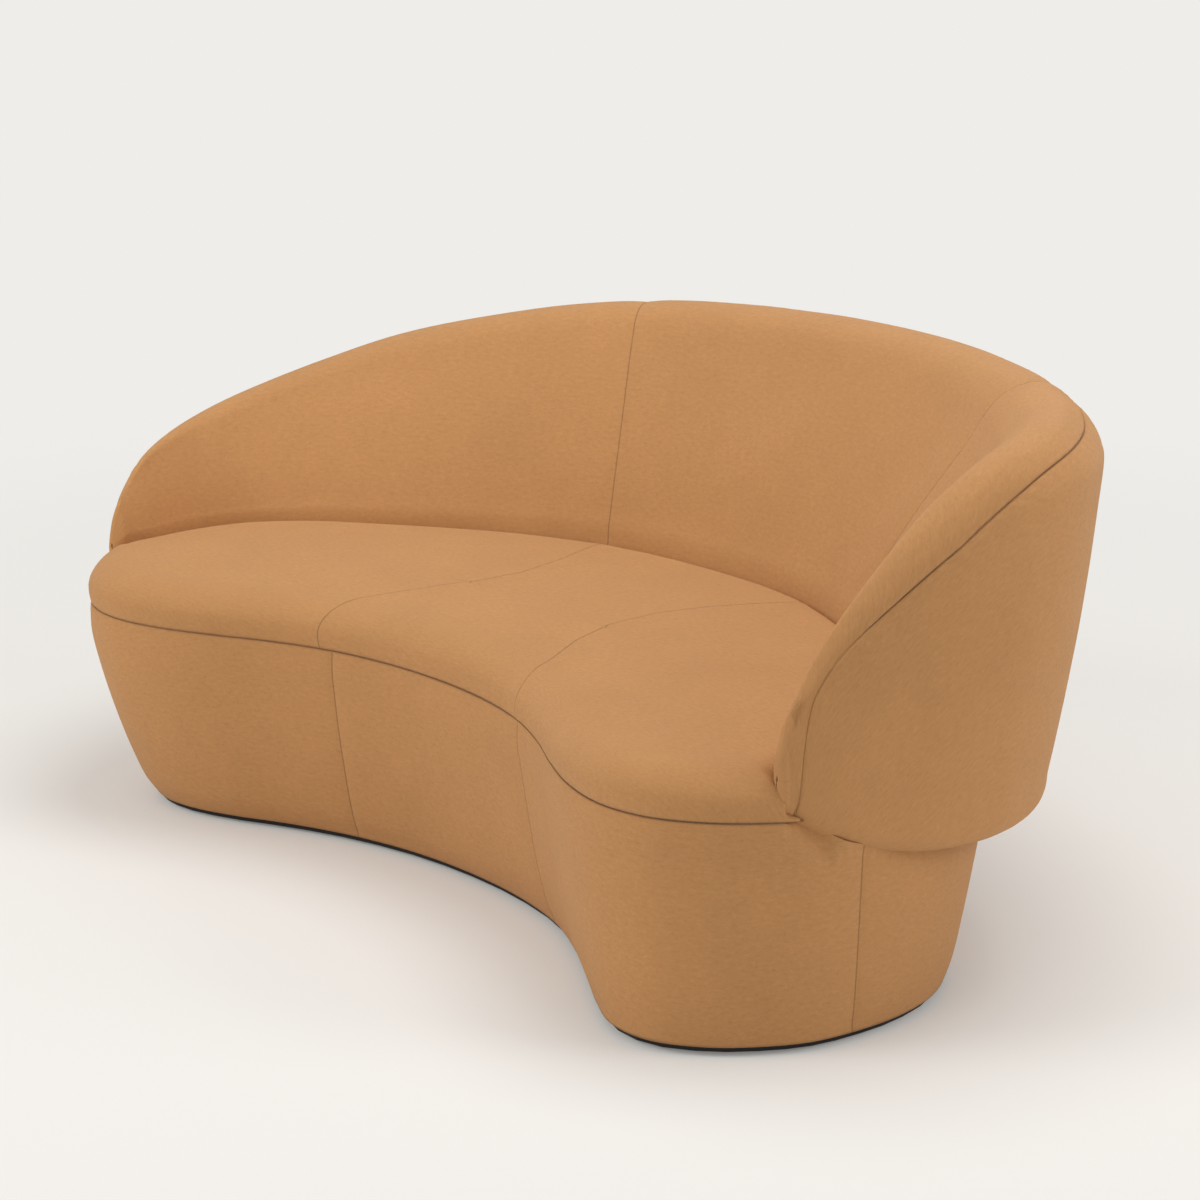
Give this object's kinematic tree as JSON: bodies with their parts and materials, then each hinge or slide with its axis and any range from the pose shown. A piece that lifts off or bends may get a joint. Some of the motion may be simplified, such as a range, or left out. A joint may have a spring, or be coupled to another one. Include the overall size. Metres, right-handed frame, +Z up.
{
  "type": "sofa",
  "caption": "Kidney-shaped upholstered sofa with a curved seat on a recessed dark plinth and a backrest that wraps round into low rounded arms.",
  "frame": {"origin": "middle of the footprint's box, on the floor under the glides", "axes": "+Z up, the open front faces -Y, +X is the viewer's right when facing the front"},
  "size_m": [1.911, 1.1652, 0.8282],
  "materials": {
    "seat_fabric": "fine melange wool weave, camel tan",
    "frame_timber": "bare plywood and softwood",
    "plinth_black": "black stained",
    "glide_plastic": "black nylon",
    "bolt_steel": "zinc plated",
    "webbing_cloth": "woven elastic webbing"
  },
  "bodies": {
    "root": {"floor_glides": "glide_plastic", "plinth_ring": "plinth_black", "floor_board": "frame_timber", "rim_board_front": "frame_timber", "rim_board_rear": "frame_timber", "cross_rib_middle": "frame_timber", "cross_ribs_inner": "frame_timber", "cross_ribs_outer": "frame_timber", "seat_deck": "frame_timber", "deck_bolts": "bolt_steel", "webbing_lengthwise": "webbing_cloth", "webbing_crosswise": "webbing_cloth", "back_base_rail": "frame_timber", "back_post_middle": "frame_timber", "back_posts_inner": "frame_timber", "back_posts_side": "frame_timber", "back_posts_outer": "frame_timber", "back_top_rail": "frame_timber", "back_shell": "frame_timber", "back_pad_left": "seat_fabric", "back_pad_middle": "seat_fabric", "back_pad_right": "seat_fabric", "arm_pad_left": "seat_fabric", "arm_pad_right": "seat_fabric", "outer_panel_left": "seat_fabric", "outer_panel_middle": "seat_fabric", "outer_panel_right": "seat_fabric", "base_pad_front_middle": "seat_fabric", "base_pad_front_left": "seat_fabric", "base_pad_front_right": "seat_fabric", "base_pad_rear": "seat_fabric", "seat_pad_left": "seat_fabric", "seat_pad_middle": "seat_fabric", "seat_pad_right": "seat_fabric"}
  },
  "joints": []
}
